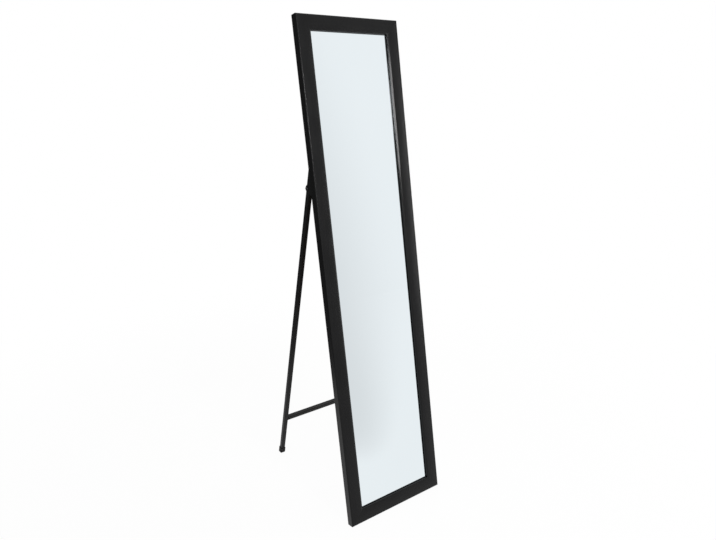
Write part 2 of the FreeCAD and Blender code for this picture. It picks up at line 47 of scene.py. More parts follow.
# how the mirror leans and where the stand hangs from it, in metres and degrees
stance = {
    "lean": 11.0,
    "legTilt": 12.25,
    "pivotDepth": 0.055,
    "pivotHeight": 1.077,
    "legSpread": 0.341,
    "tube": 0.015,
}
pivotSpot = Vector(frame["joints"][0]["pos_m"])
pivotMove = Matrix.Translation((0, pivotSpot.y, pivotSpot.z))
# mirrorPlace: x across, y from the front to the back, z up the mirror; standPlace: z up along the legs
mirrorPlace = (pivotMove @ Matrix.Rotation(math.radians(-stance["lean"]), 4, "X")
               @ Matrix.Translation((0, -stance["pivotDepth"], -stance["pivotHeight"])))
standPlace = pivotMove @ Matrix.Rotation(math.radians(stance["legTilt"]), 4, "X")


# node tools

def addNode(tree, kind, **settings):
    made = tree.nodes.new(kind)
    for key, value in settings.items():
        setattr(made, key, value)
    return made


def join(tree, *pairs):
    for source, target in pairs:
        tree.links.new(source, target)


def feed(tree, socket, value):
    # links another node's output to the socket, or sets a plain value on it
    if isinstance(value, bpy.types.NodeSocket):
        join(tree, (value, socket))
    else:
        socket.default_value = value


def newGroup(name, kind, takes, gives):
    group = bpy.data.node_groups.new(name, kind)
    for label, socketType, value in takes:
        socket = group.interface.new_socket(label, in_out="INPUT", socket_type=socketType)
        if value is not None:
            socket.default_value = value
    for label, socketType in gives:
        group.interface.new_socket(label, in_out="OUTPUT", socket_type=socketType)
    return group, group.nodes.new("NodeGroupInput"), group.nodes.new("NodeGroupOutput")


def mathNode(tree, operation, first, second=0.0):
    made = addNode(tree, "ShaderNodeMath", operation=operation)
    feed(tree, made.inputs[0], first)
    feed(tree, made.inputs[1], second)
    return made.outputs[0]


def averageNode(tree, first, second):
    return mathNode(tree, "MULTIPLY", mathNode(tree, "ADD", first, second), 0.5)


def vectorNode(tree, operation, first, second=None):
    made = addNode(tree, "ShaderNodeVectorMath", operation=operation)
    feed(tree, made.inputs[0], first)
    if second is not None:
        feed(tree, made.inputs[1], second)
    return made.outputs["Value" if operation in ("DOT_PRODUCT", "LENGTH") else "Vector"]


def partsOf(tree, vector):
    made = addNode(tree, "ShaderNodeSeparateXYZ")
    join(tree, (vector, made.inputs[0]))
    return made.outputs


def spanNode(tree, value, low, high, start=0.0, end=1.0):
    made = addNode(tree, "ShaderNodeMapRange", interpolation_type="SMOOTHSTEP")
    join(tree, (value, made.inputs["Value"]))
    for label, number in (("From Min", low), ("From Max", high), ("To Min", start), ("To Max", end)):
        made.inputs[label].default_value = number
    return made.outputs["Result"]


def mixNode(tree, factor, first, second):
    # inputs 6 and 7 and output 2 are the ones that carry colours
    made = addNode(tree, "ShaderNodeMix", data_type="RGBA")
    join(tree, (factor, made.inputs["Factor"]))
    for socket, value in ((made.inputs[6], first), (made.inputs[7], second)):
        feed(tree, socket, (*value, 1) if isinstance(value, tuple) else value)
    return made.outputs[2]


def noiseNode(tree, place, scale, detail, roughness=0.5):
    made = addNode(tree, "ShaderNodeTexNoise")
    for label, value in (("Vector", place), ("Scale", scale), ("Detail", detail), ("Roughness", roughness)):
        feed(tree, made.inputs[label], value)
    return made.outputs[0]


# shared effects

grainNoise = {"detail": 2.0, "roughness": 0.6, "cloudDetail": 3.0, "cloudSpan": (0.3, 0.7)}


def makeGrainEffect(noise):
    # fine bumps over a broad, slow change of tone
    group, start, end = newGroup("fineGrain", "ShaderNodeTree", [
        ("Place", "NodeSocketVector", None),
        ("Grain Scale", "NodeSocketFloat", 800.0),
        ("Cloud Scale", "NodeSocketFloat", 6.0),
    ], [("Height", "NodeSocketFloat"), ("Tone", "NodeSocketFloat")])
    place = start.outputs["Place"]
    fine = noiseNode(group, place, start.outputs["Grain Scale"], noise["detail"], noise["roughness"])
    cloud = noiseNode(group, place, start.outputs["Cloud Scale"], noise["cloudDetail"])
    join(group, (fine, end.inputs["Height"]),
         (spanNode(group, cloud, *noise["cloudSpan"]), end.inputs["Tone"]))
    return group


edgeNoise = {"samples": 6, "turn": (0.985, 0.8), "detail": 4.0, "span": (0.4, 0.65), "least": 0.15}


def makeWearEffect(noise):
    # rubbed edges, broken up so that they don't run as an even line
    group, start, end = newGroup("edgeWear", "ShaderNodeTree", [
        ("Place", "NodeSocketVector", None),
        ("Width", "NodeSocketFloat", 0.001),
        ("Break Scale", "NodeSocketFloat", 60.0),
    ], [("Mask", "NodeSocketFloat")])
    bevel = addNode(group, "ShaderNodeBevel", samples=noise["samples"])
    join(group, (start.outputs["Width"], bevel.inputs["Radius"]))
    surface = addNode(group, "ShaderNodeNewGeometry")
    turned = vectorNode(group, "DOT_PRODUCT", bevel.outputs[0], surface.outputs["Normal"])
    breaks = noiseNode(group, start.outputs["Place"], start.outputs["Break Scale"], noise["detail"])
    edge = spanNode(group, turned, *noise["turn"])
    patchy = spanNode(group, breaks, *noise["span"], noise["least"], 1.0)
    join(group, (mathNode(group, "MULTIPLY", edge, patchy), end.inputs["Mask"]))
    return group


dustNoise = {"facing": (0.25, 0.95), "detail": 6.0, "roughness": 0.7, "span": (0.35, 0.75), "least": 0.25}


def makeDustEffect(noise):
    # a thin film that settles on what faces up
    group, start, end = newGroup("settledDust", "ShaderNodeTree", [
        ("Place", "NodeSocketVector", None),
        ("Speck Scale", "NodeSocketFloat", 90.0),
        ("Amount", "NodeSocketFloat", 0.15),
    ], [("Mask", "NodeSocketFloat")])
    surface = addNode(group, "ShaderNodeNewGeometry")
    facing = partsOf(group, surface.outputs["Normal"])["Z"]
    specks = noiseNode(group, start.outputs["Place"], start.outputs["Speck Scale"],
                       noise["detail"], noise["roughness"])
    up = spanNode(group, facing, *noise["facing"])
    film = spanNode(group, specks, *noise["span"], noise["least"], 1.0)
    settled = mathNode(group, "MULTIPLY", up, film)
    join(group, (mathNode(group, "MULTIPLY", settled, start.outputs["Amount"]), end.inputs["Mask"]))
    return group


markNoise = {"scale": 1.0, "detail": 4.0, "span": (0.35, 0.65)}


def makeBrushEffect(noise):
    # short scratches along one direction
    group, start, end = newGroup("drawnMarks", "ShaderNodeTree", [
        ("Place", "NodeSocketVector", None),
        ("Stretch", "NodeSocketVector", (1.0, 1.0, 1.0)),
    ], [("Height", "NodeSocketFloat"), ("Tone", "NodeSocketFloat")])
    pulled = vectorNode(group, "MULTIPLY", start.outputs["Place"], start.outputs["Stretch"])
    marks = noiseNode(group, pulled, noise["scale"], noise["detail"])
    join(group, (marks, end.inputs["Height"]), (spanNode(group, marks, *noise["span"]), end.inputs["Tone"]))
    return group


grainEffect = makeGrainEffect(grainNoise)
wearEffect = makeWearEffect(edgeNoise)
dustEffect = makeDustEffect(dustNoise)
brushEffect = makeBrushEffect(markNoise)
print("shared effects made")


# finishes

def newFinish(name, constants):
    finish = bpy.data.materials.new(name)
    finish.use_nodes = True
    tree = finish.node_tree
    shader = tree.nodes["Principled BSDF"]
    for label, value in constants.items():
        shader.inputs[label].default_value = value
    place = addNode(tree, "ShaderNodeTexCoord").outputs["Object"]
    return finish, tree, shader, place


def placeEffect(tree, group, place, values):
    made = addNode(tree, "ShaderNodeGroup", node_tree=group)
    join(tree, (place, made.inputs["Place"]))
    for label, value in values.items():
        made.inputs[label].default_value = value
    return made.outputs


def addBump(tree, shader, height, look):
    bump = addNode(tree, "ShaderNodeBump")
    bump.inputs["Strength"].default_value = look["bump"]
    bump.inputs["Distance"].default_value = look["bumpDepth"]
    join(tree, (height, bump.inputs["Height"]), (bump.outputs[0], shader.inputs["Normal"]))


def turnedPlace(tree, place):
    # object coordinates turned upright with the leaning mirror
    turn = addNode(tree, "ShaderNodeMapping")
    turn.inputs["Rotation"].default_value = (math.radians(stance["lean"]), 0, 0)
    join(tree, (place, turn.inputs["Vector"]))
    return turn.outputs[0]


# how much deeper the pores are than the grain, and how much dust dulls
coating = {"poreHeight": 2.0, "dustRough": 0.5}


def makePainted(name, look, streak=None):
    # a dark coat with fine grain, rubbed edges and a little dust; streak is the stretch of its wood grain
    finish, tree, shader, place = newFinish(name, {
        "Metallic": look["metallic"],
        "Specular IOR Level": look["specular"],
        "Coat Weight": look.get("gloss", 0.0),
        "Coat Roughness": look.get("glossBlur", 0.0),
    })
    grain = placeEffect(tree, grainEffect, place,
                        {"Grain Scale": look["grainScale"], "Cloud Scale": look["cloudScale"]})
    wear = placeEffect(tree, wearEffect, place,
                       {"Width": look["wearWidth"], "Break Scale": look["wearScale"]})["Mask"]
    dust = placeEffect(tree, dustEffect, place,
                       {"Speck Scale": look["dustScale"], "Amount": look["dust"]})["Mask"]
    tone, height = grain["Tone"], grain["Height"]
    if streak:
        pores = placeEffect(tree, brushEffect, turnedPlace(tree, place), {"Stretch": streak})
        tone = averageNode(tree, tone, pores["Tone"])
        pits = mathNode(tree, "MULTIPLY", pores["Height"], coating["poreHeight"])
        height = mathNode(tree, "ADD", height, pits)
    coat = mixNode(tree, tone, look["deep"], look["pale"])
    rubbed = mixNode(tree, mathNode(tree, "MULTIPLY", wear, look["wear"]), coat, look["worn"])
    dusty = mixNode(tree, dust, rubbed, look["dustTint"])
    base = spanNode(tree, tone, 0.0, 1.0, look["smooth"], look["rough"])
    polished = mathNode(tree, "SUBTRACT", base, mathNode(tree, "MULTIPLY", wear, look["polish"]))
    rough = mathNode(tree, "ADD", polished, mathNode(tree, "MULTIPLY", dust, coating["dustRough"]))
    join(tree, (dusty, shader.inputs["Base Color"]), (rough, shader.inputs["Roughness"]))
    addBump(tree, shader, height, look)
    return finish


mouldingLook = {
    "deep": (0.0028, 0.0028, 0.0031), "pale": (0.0052, 0.0051, 0.0054), "worn": (0.02, 0.02, 0.0205),
    "dustTint": (0.16, 0.155, 0.15), "metallic": 0.0, "specular": 0.105, "smooth": 0.28, "rough": 0.38,
    "gloss": 0.11, "glossBlur": 0.11,
    "grainScale": 1500.0, "cloudScale": 9.0, "bump": 0.12, "bumpDepth": 0.00015,
    "wear": 0.35, "wearWidth": 0.0012, "wearScale": 45.0, "polish": 0.06, "dust": 0.03, "dustScale": 120.0,
    "streak": {"stile": (620.0, 620.0, 11.0), "rail": (11.0, 620.0, 620.0)},
}
coatLook = {
    "deep": (0.0055, 0.0055, 0.0057), "pale": (0.0072, 0.0072, 0.0074), "worn": (0.03, 0.03, 0.03),
    "dustTint": (0.17, 0.165, 0.16), "metallic": 0.0, "specular": 0.15, "smooth": 0.36, "rough": 0.44,
    "grainScale": 620.0, "cloudScale": 14.0, "bump": 0.25, "bumpDepth": 0.0003,
    "wear": 0.4, "wearWidth": 0.0007, "wearScale": 70.0, "polish": 0.08, "dust": 0.05, "dustScale": 150.0,
}
platedLook = {
    "deep": (0.035, 0.035, 0.038), "pale": (0.06, 0.06, 0.064), "worn": (0.32, 0.32, 0.33),
    "dustTint": (0.18, 0.175, 0.17), "metallic": 0.8, "specular": 0.5, "smooth": 0.26, "rough": 0.4,
    "grainScale": 2600.0, "cloudScale": 160.0, "bump": 0.15, "bumpDepth": 0.0001,
    "wear": 0.7, "wearWidth": 0.00035, "wearScale": 420.0, "polish": 0.1, "dust": 0.04, "dustScale": 300.0,
}
rubberLook = {
    "deep": (0.009, 0.009, 0.009), "pale": (0.013, 0.013, 0.0127), "worn": (0.035, 0.034, 0.033),
    "dustTint": (0.2, 0.195, 0.185), "metallic": 0.0, "specular": 0.2, "smooth": 0.62, "rough": 0.74,
    "grainScale": 1900.0, "cloudScale": 70.0, "bump": 0.3, "bumpDepth": 0.0002,
    "wear": 0.5, "wearWidth": 0.0008, "wearScale": 240.0, "polish": 0.08, "dust": 0.08, "dustScale": 260.0,
}
plasticLook = {
    "deep": (0.013, 0.013, 0.013), "pale": (0.018, 0.018, 0.018), "worn": (0.045, 0.045, 0.045),
    "dustTint": (0.18, 0.175, 0.17), "metallic": 0.0, "specular": 0.4, "smooth": 0.42, "rough": 0.52,
    "grainScale": 2200.0, "cloudScale": 60.0, "bump": 0.25, "bumpDepth": 0.0001,
    "wear": 0.4, "wearWidth": 0.0005, "wearScale": 300.0, "polish": 0.06, "dust": 0.05, "dustScale": 260.0,
}
nylonLook = {
    "deep": (0.66, 0.64, 0.58), "pale": (0.76, 0.74, 0.69), "worn": (0.5, 0.48, 0.43),
    "dustTint": (0.45, 0.43, 0.4), "metallic": 0.0, "specular": 0.45, "smooth": 0.34, "rough": 0.44,
    "grainScale": 3000.0, "cloudScale": 240.0, "bump": 0.1, "bumpDepth": 0.0001,
    "wear": 0.4, "wearWidth": 0.0004, "wearScale": 400.0, "polish": 0.0, "dust": 0.06, "dustScale": 300.0,
}
stileFinish = makePainted("stileBlack", mouldingLook, mouldingLook["streak"]["stile"])
railFinish = makePainted("railBlack", mouldingLook, mouldingLook["streak"]["rail"])
coatFinish = makePainted("powderCoat", coatLook)
platedFinish = makePainted("blackPlating", platedLook)
rubberFinish = makePainted("footRubber", rubberLook)
plasticFinish = makePainted("plugPlastic", plasticLook)
nylonFinish = makePainted("slipNylon", nylonLook)

zincLook = {
    "deep": (0.5, 0.51, 0.53), "pale": (0.66, 0.67, 0.68), "smooth": 0.2, "rough": 0.36,
    "stretch": (2400.0, 300.0, 300.0), "spangle": 500.0, "bump": 0.12, "bumpDepth": 0.00008,
}


def makeZinc(look):
    # bright metal with spangle and drawn marks
    finish, tree, shader, place = newFinish("brightZinc", {"Metallic": 1.0})
    marks = placeEffect(tree, brushEffect, place, {"Stretch": look["stretch"]})
    spangle = addNode(tree, "ShaderNodeTexVoronoi")
    spangle.inputs["Scale"].default_value = look["spangle"]
    grains = addNode(tree, "ShaderNodeSeparateColor")
    join(tree, (place, spangle.inputs["Vector"]), (spangle.outputs["Color"], grains.inputs[0]))
    tone = averageNode(tree, grains.outputs[0], marks["Tone"])
    join(tree, (mixNode(tree, tone, look["deep"], look["pale"]), shader.inputs["Base Color"]),
         (spanNode(tree, tone, 0.0, 1.0, look["rough"], look["smooth"]), shader.inputs["Roughness"]))
    addBump(tree, shader, marks["Height"], look)
    return finish


boardLook = {
    "dark": (0.15, 0.083, 0.039), "brown": (0.185, 0.104, 0.05), "fibre": (0.27, 0.163, 0.085),
    "fibreStretch": (1300.0, 1300.0, 330.0), "fibreSpan": (0.5, 0.72), "specular": 0.3,
    "grainScale": 420.0, "cloudScale": 60.0, "grainSpan": (0.3, 0.7), "roughness": (0.62, 0.8),
    "screenPitch": 0.0016, "screenHeight": 0.35, "bump": 0.55, "bumpDepth": 0.0004,
}


def makeBoard(look):
    # pressed fibre with the print of the wire screen on its back
    finish, tree, shader, place = newFinish("hardboard", {"Specular IOR Level": look["specular"]})
    upright = turnedPlace(tree, place)
    fibres = placeEffect(tree, brushEffect, upright, {"Stretch": look["fibreStretch"]})
    clouds = placeEffect(tree, grainEffect, upright,
                         {"Grain Scale": look["grainScale"], "Cloud Scale": look["cloudScale"]})
    parts = partsOf(tree, upright)
    waves = []
    for axis in ("X", "Z"):
        phase = mathNode(tree, "MULTIPLY", parts[axis], 2 * math.pi / look["screenPitch"])
        waves.append(mathNode(tree, "SINE", phase))
    screen = mathNode(tree, "MULTIPLY", mathNode(tree, "MULTIPLY", *waves), look["screenHeight"])
    coarse = mixNode(tree, clouds["Tone"], look["dark"], look["brown"])
    flecks = spanNode(tree, fibres["Height"], *look["fibreSpan"])
    rough = spanNode(tree, clouds["Height"], *look["grainSpan"], *look["roughness"])
    join(tree, (mixNode(tree, flecks, coarse, look["fibre"]), shader.inputs["Base Color"]),
         (rough, shader.inputs["Roughness"]))
    addBump(tree, shader, mathNode(tree, "ADD", screen, clouds["Height"]), look)
    return finish


mirrorLook = {
    "silver": (0.81, 0.866, 0.894), "hazed": (0.8, 0.858, 0.886), "smooth": 0.0, "hazy": 0.012,
    "wipe": (3.0, 3.0, 1.2), "wipeSpan": (0.4, 0.8),
}


def makeSilver(look):
    # a clean mirror with the faintest wiped haze
    finish, tree, shader, place = newFinish("silveredGlass", {"Metallic": 1.0})
    wiped = placeEffect(tree, brushEffect, place, {"Stretch": look["wipe"]})
    tint = mixNode(tree, wiped["Tone"], look["silver"], look["hazed"])
    rough = spanNode(tree, wiped["Height"], *look["wipeSpan"], look["smooth"], look["hazy"])
    join(tree, (tint, shader.inputs["Base Color"]), (rough, shader.inputs["Roughness"]))
    return finish


zincFinish = makeZinc(zincLook)
boardFinish = makeBoard(boardLook)
silverFinish = makeSilver(mirrorLook)
slotFinish = {
    "frame_black": stileFinish, "silvered_glass": silverFinish, "hardboard": boardFinish,
    "powder_coat": coatFinish, "black_zinc": platedFinish, "zinc_steel": zincFinish,
    "black_rubber": rubberFinish, "black_plastic": plasticFinish, "nylon": nylonFinish,
}
nodeSlot = {row["node"]: row["material_slot"] for row in frame["record"]["subparts"]}
print("finishes made:", len(slotFinish))


# stage, lamps and camera

cameraView = {
    "spot": (-1.08425, -1.47323, 1.34509), "turn": 34.101, "dip": 16.842,
    "lens": 29.1564, "shiftX": 0.03273, "shiftY": -0.01078,
}
turn, dip = math.radians(cameraView["turn"]), math.radians(cameraView["dip"])
ahead = Vector((math.sin(turn) * math.cos(dip), math.cos(turn) * math.cos(dip), -math.sin(dip)))
across = Vector((math.cos(turn), -math.sin(turn), 0))
upward = across.cross(ahead)
cameraData = bpy.data.cameras.new("photoCamera")
cameraData.lens = cameraView["lens"]
cameraData.shift_x = cameraView["shiftX"]
cameraData.shift_y = cameraView["shiftY"]
photoCamera = bpy.data.objects.new("photoCamera", cameraData)
axes = Matrix((across, upward, -ahead)).transposed().to_4x4()
photoCamera.matrix_world = Matrix.Translation(cameraView["spot"]) @ axes
scene.collection.objects.link(photoCamera)
scene.camera = photoCamera

# inGlass says whether the mirror may show the lamp's panel
lamps = {
    "cameraSoftbox": {
        "spot": (-1.6, -2.15, 2.1), "aim": (0, 0, 1.1), "size": (0.2, 0.5), "power": 20, "inGlass": True,
    },
    "frontSoftbox": {
        "spot": (0.0, -2.6, 2.05), "aim": (0.1, 0, 1.2), "size": (0.24, 0.85), "power": 27, "inGlass": False,
    },
    "rightSoftbox": {
        "spot": (2.3, -1.3, 1.05), "aim": (0.1, 0, 0.8), "size": (0.5, 1.7), "power": 21, "inGlass": False,
    },
    "backSoftbox": {
        "spot": (2.2, 2.0, 0.9), "aim": (0, 0.1, 0.9), "size": (0.8, 1.3), "power": 30, "inGlass": False,
    },
    "topSoftbox": {
        "spot": (0.2, 0.3, 3.2), "aim": (0, 0.1, 0), "size": (2.4, 2.4), "power": 14, "inGlass": False,
    },
}
for name, lamp in lamps.items():
    light = bpy.data.lights.new(name, "AREA")
    light.shape = "RECTANGLE"
    light.size, light.size_y = lamp["size"]
    light.energy = lamp["power"]
    holder = bpy.data.objects.new(name, light)
    spot = Vector(lamp["spot"])
    holder.location = spot
    holder.rotation_euler = (Vector(lamp["aim"]) - spot).to_track_quat("-Z", "Y").to_euler()
    scene.collection.objects.link(holder)


# the room is white, but gloss finds it dimmer behind the mirror, on the side away from the lamps
surround = {
    "white": 1.0, "fill": 0.41, "dim": 0.135, "dimSide": (-0.55, 0.835, 0.0), "dimSpan": (0.5, 0.8),
}
# and finds a soft painted shade low in front of the glass, which the mirror shows as a darker reflection
glossShadePatch = {
    "towards": (0.45, -0.886, -0.105), "seenFrom": (-0.06, -0.16, 0.42), "squeeze": (1.0, 1.0, 0.25),
    "reach": (0.05, 0.23), "tone": 0.83,
}


def shownRays(tree):
    # the rays that see the white room as it is, and those that see it in a gloss
    rays = addNode(tree, "ShaderNodeLightPath")
    plain = mathNode(tree, "MAXIMUM", rays.outputs["Is Camera Ray"], rays.outputs["Is Transmission Ray"])
    return plain, rays.outputs["Is Glossy Ray"]


def glossLevel(tree, glossy, place, dimSpan, direction):
    along = vectorNode(tree, "DOT_PRODUCT", place, surround["dimSide"])
    dim = spanNode(tree, along, *dimSpan, surround["white"], surround["dim"])
    # painted shade that only gloss sees: the room is darker towards one direction low in front of the glass
    aside = vectorNode(tree, "SUBTRACT", direction, glossShadePatch["towards"])
    distance = vectorNode(tree, "LENGTH", vectorNode(tree, "MULTIPLY", aside, glossShadePatch["squeeze"]))
    patchShade = spanNode(tree, distance, *glossShadePatch["reach"], glossShadePatch["tone"], 1.0)
    return mathNode(tree, "MULTIPLY", glossy, mathNode(tree, "MULTIPLY", dim, patchShade))


world = bpy.data.worlds.new("whiteRoom")
world.use_nodes = True
scene.world = world
tree = world.node_tree
plain, glossy = shownRays(tree)
outward = addNode(tree, "ShaderNodeTexCoord").outputs["Generated"]
inGloss = glossLevel(tree, glossy, outward, surround["dimSpan"], outward)
seen = mathNode(tree, "ADD", mathNode(tree, "MULTIPLY", plain, surround["white"]), inGloss)
unseen = mathNode(tree, "SUBTRACT", 1.0, mathNode(tree, "MAXIMUM", plain, glossy))
strength = mathNode(tree, "ADD", seen, mathNode(tree, "MULTIPLY", unseen, surround["fill"]))
room = tree.nodes["Background"]
room.inputs["Color"].default_value = (1, 1, 1, 1)
join(tree, (strength, room.inputs["Strength"]))

floorLook = {
    "reach": 14.0, "colour": (0.86, 0.86, 0.86), "roughness": 0.9, "specular": 0.0,
    "glow": 0.96, "fade": (0.8, 2.2), "dimFade": (0.45, 1.25),
}
floorMesh = bpy.data.meshes.new("paleFloor")
reach = floorLook["reach"]
floorMesh.from_pydata([(-reach, -reach, 0), (reach, -reach, 0), (reach, reach, 0), (-reach, reach, 0)],
                      [], [(0, 1, 2, 3)])
paleFloor = bpy.data.objects.new("paleFloor", floorMesh)
scene.collection.objects.link(paleFloor)
floorFinish, tree, paper, place = newFinish("palePaper", {
    "Base Color": (*floorLook["colour"], 1),
    "Roughness": floorLook["roughness"],
    "Specular IOR Level": floorLook["specular"],
})
plain, glossy = shownRays(tree)
share = spanNode(tree, vectorNode(tree, "LENGTH", place), *floorLook["fade"], floorLook["glow"], 1.0)
# the floor's glow for gloss carries the same painted shade, aimed from the middle of the glass
outward = vectorNode(tree, "NORMALIZE", vectorNode(tree, "SUBTRACT", place, glossShadePatch["seenFrom"]))
inGloss = glossLevel(tree, glossy, place, floorLook["dimFade"], outward)
glow = addNode(tree, "ShaderNodeEmission")
blend = addNode(tree, "ShaderNodeMixShader")
join(tree, (mathNode(tree, "ADD", plain, inGloss), glow.inputs["Strength"]),
     (mathNode(tree, "MULTIPLY", mathNode(tree, "MAXIMUM", plain, glossy), share), blend.inputs[0]),
     (paper.outputs[0], blend.inputs[1]), (glow.outputs[0], blend.inputs[2]),
     (blend.outputs[0], tree.nodes["Material Output"].inputs["Surface"]))
floorMesh.materials.append(floorFinish)
print("stage set")


# mesh tools

sharpAngle = 40  # degrees; edges that bend more stay sharp
cutPast = 0.001  # how far a cutting or joining body runs past the face it works on


def plainMesh(name, shape):
    bmesh.ops.recalc_face_normals(shape, faces=shape.faces)
    mesh = bpy.data.meshes.new(name)
    shape.to_mesh(mesh)
    shape.free()
    return mesh


def turnedBody(profile, segments):
    # a closed body turned about z from (radius, height) pairs that start and end on the axis
    shape = bmesh.new()
    rings = []
    for radius, height in profile:
        steps = segments if radius else 1
        angles = [2 * math.pi * k / steps for k in range(steps)]
        rings.append([shape.verts.new((radius * math.cos(a), radius * math.sin(a), height)) for a in angles])
    for first, second in zip(rings, rings[1:]):
        for k in range(segments):
            around = [first[k % len(first)], first[(k + 1) % len(first)],
                      second[(k + 1) % len(second)], second[k % len(second)]]
            shape.faces.new(list(dict.fromkeys(around)))
    return plainMesh("turnedBody", shape)


def stackedBody(name, rings):
    # a closed body through rings of points, with a flat face on the first and the last
    shape = bmesh.new()
    loops = [[shape.verts.new(point) for point in ring] for ring in rings]
    for first, second in zip(loops, loops[1:]):
        count = len(first)
        for k in range(count):
            shape.faces.new((first[k], first[(k + 1) % count], second[(k + 1) % count], second[k]))
    shape.faces.new(loops[0])
    shape.faces.new(loops[-1])
    return plainMesh(name, shape)


def hexagonRing(radius, height):
    angles = [2 * math.pi * k / 6 for k in range(6)]
    return [(radius * math.cos(a), radius * math.sin(a), height) for a in angles]


def quarterArc(steps):
    # angles of an even quarter turn, with both ends
    return [math.radians(90 * k / steps) for k in range(steps + 1)]


def evaluatedMesh(holder):
    graph = bpy.context.evaluated_depsgraph_get()
    return bpy.data.meshes.new_from_object(holder.evaluated_get(graph))


def carved(body, tool, operation):
    # cuts one mesh with another and gives back the plain result
    holders = [bpy.data.objects.new(mesh.name, mesh) for mesh in (body, tool)]
    for holder in holders:
        scene.collection.objects.link(holder)
    cut = holders[0].modifiers.new("carve", "BOOLEAN")
    cut.operation = operation
    cut.object = holders[1]
    result = evaluatedMesh(holders[0])
    for holder in holders:
        bpy.data.objects.remove(holder)
    return result


def grownMesh(name, body, tree, values):
    # runs a tree once on a mesh and gives back the plain mesh that comes out
    holder = bpy.data.objects.new(name, body)
    scene.collection.objects.link(holder)
    grow = holder.modifiers.new("grow", "NODES")
    grow.node_group = tree
    for item in tree.interface.items_tree:
        if item.in_out == "INPUT" and item.name in values:
            grow[item.identifier] = values[item.name]
    result = evaluatedMesh(holder)
    holder.modifiers.remove(grow)
    bpy.data.objects.remove(holder)
    return result


def settlePiece(name, mesh, place, body, slot, *replaced):
    # sets a mesh in the shared frame, with soft shading but sharp corners, and hands it to its body
    mesh.transform(place)
    mesh.name = name
    shape = bmesh.new()
    shape.from_mesh(mesh)
    for face in shape.faces:
        face.smooth = True
    for edge in shape.edges:
        edge.smooth = edge.calc_face_angle(0.0) < math.radians(sharpAngle)
    shape.to_mesh(mesh)
    shape.free()
    piece = bpy.data.objects.new(name, mesh)
    scene.collection.objects.link(piece)
    if not mesh.materials:
        mesh.materials.append(slotFinish[slot])
    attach(piece, body)
    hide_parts(*replaced)
    print(name, "made:", len(mesh.polygons), "faces")
    return piece


# trees that repeat a part

def threeValues(tree, x, y, z):
    made = addNode(tree, "ShaderNodeCombineXYZ")
    for socket, value in zip(made.inputs, (x, y, z)):
        feed(tree, socket, value)
    return made.outputs[0]


def turnAbout(tree, axis, angle):
    made = addNode(tree, "FunctionNodeAxisAngleToRotation")
    made.inputs["Axis"].default_value = axis
    feed(tree, made.inputs["Angle"], angle)
    return made.outputs[0]


def randomTurn(tree, seed, spread):
    # inputs 2 and 3 and output 1 are the ones for plain numbers
    made = addNode(tree, "FunctionNodeRandomValue", data_type="FLOAT")
    made.inputs[2].default_value = -spread
    made.inputs[3].default_value = spread
    join(tree, (seed, made.inputs["Seed"]))
    return made.outputs[1]


def pointParts(tree):
    return partsOf(tree, addNode(tree, "GeometryNodeInputPosition").outputs[0])


def endTree(tree, geometry, finish, end):
    real = addNode(tree, "GeometryNodeRealizeInstances")
    painted = addNode(tree, "GeometryNodeSetMaterial")
    join(tree, (geometry, real.inputs["Geometry"]), (real.outputs[0], painted.inputs["Geometry"]),
         (finish, painted.inputs["Material"]), (painted.outputs[0], end.inputs[0]))


def gridPoints(tree, start):
    # points of an upright grid, centred, x across and z up, with a left and a right column
    grid = addNode(tree, "GeometryNodeMeshGrid")
    grid.inputs["Vertices X"].default_value = 2
    upright = addNode(tree, "GeometryNodeTransform")
    upright.inputs["Rotation"].default_value = (math.pi / 2, 0, 0)
    join(tree,
         (start.outputs["Across"], grid.inputs["Size X"]),
         (start.outputs["Upward"], grid.inputs["Size Y"]),
         (start.outputs["Rows"], grid.inputs["Vertices Y"]),
         (grid.outputs["Mesh"], upright.inputs["Geometry"]))
    return upright.outputs[0]


threadMake = {"stepsPerTurn": 18, "ridgeSides": 4}


